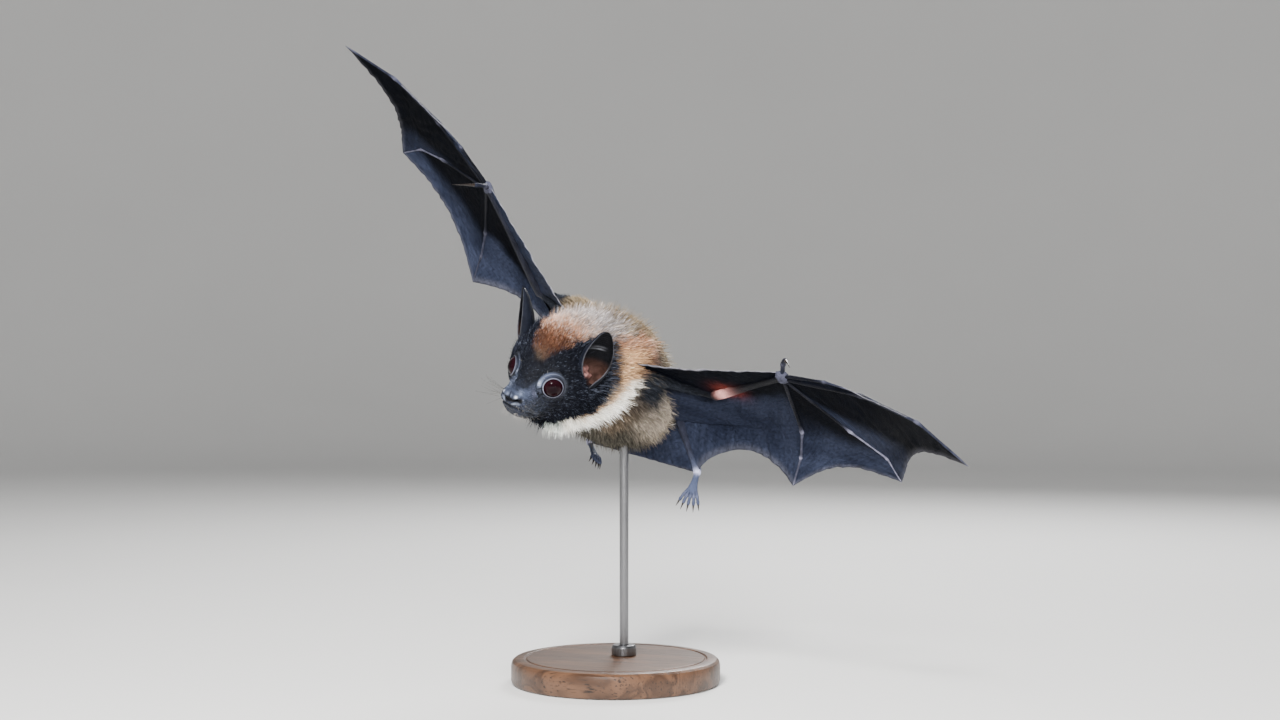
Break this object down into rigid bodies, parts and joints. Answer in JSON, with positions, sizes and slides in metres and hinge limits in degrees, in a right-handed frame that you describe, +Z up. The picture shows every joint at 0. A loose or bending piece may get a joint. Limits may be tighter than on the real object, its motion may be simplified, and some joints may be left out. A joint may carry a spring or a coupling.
{
  "type": "flying fox bat display model",
  "caption": "Life-size flying fox bat in banking flight with spread wings, a still museum model on a rod and round base.",
  "frame": {"origin": "centre of the stand base's underside", "axes": "+Z up, the bat flies towards -Y, its left is +X"},
  "size_m": [0.363, 0.1468, 0.357],
  "materials": {
    "mask_fur": "short dense fur, matte",
    "muzzle_skin": "bare wrinkled skin, slightly moist",
    "collar_fur": "long soft fur, matte",
    "body_fur": "woolly grizzled fur, matte",
    "bare_skin": "thin leathery skin, satin",
    "wing_membrane": "thin wrinkled membrane, satin",
    "eye": "wet gloss",
    "claw": "polished horn",
    "base_wood": "oiled dark wood, satin",
    "stand_metal": "brushed"
  },
  "bodies": {
    "root": {"head": "mask_fur", "lower_jaw": "mask_fur", "nose": "muzzle_skin", "neck": "collar_fur", "trunk": "body_fur", "eye_left": "eye", "ear_left": "bare_skin", "upper_arm_left": "bare_skin", "forearm_left": "bare_skin", "wrist_left": "bare_skin", "thumb_left": "bare_skin", "thumb_claw_left": "claw", "finger_2_left": "bare_skin", "finger_3_left": "bare_skin", "finger_4_left": "bare_skin", "finger_5_left": "bare_skin", "web_5_4_left": "wing_membrane", "web_4_3_left": "wing_membrane", "web_3_2_left": "wing_membrane", "arm_web_left": "wing_membrane", "front_web_left": "wing_membrane", "thigh_left": "body_fur", "shin_left": "bare_skin", "foot_left": "bare_skin", "eye_right": "eye", "ear_right": "bare_skin", "upper_arm_right": "bare_skin", "forearm_right": "bare_skin", "wrist_right": "bare_skin", "thumb_right": "bare_skin", "thumb_claw_right": "claw", "finger_2_right": "bare_skin", "finger_3_right": "bare_skin", "finger_4_right": "bare_skin", "finger_5_right": "bare_skin", "web_5_4_right": "wing_membrane", "web_4_3_right": "wing_membrane", "web_3_2_right": "wing_membrane", "arm_web_right": "wing_membrane", "front_web_right": "wing_membrane", "thigh_right": "body_fur", "shin_right": "bare_skin", "foot_right": "bare_skin", "tail_membrane": "wing_membrane", "stand_base": "base_wood", "stand_collar": "stand_metal", "stand_rod": "stand_metal"}
  },
  "joints": []
}
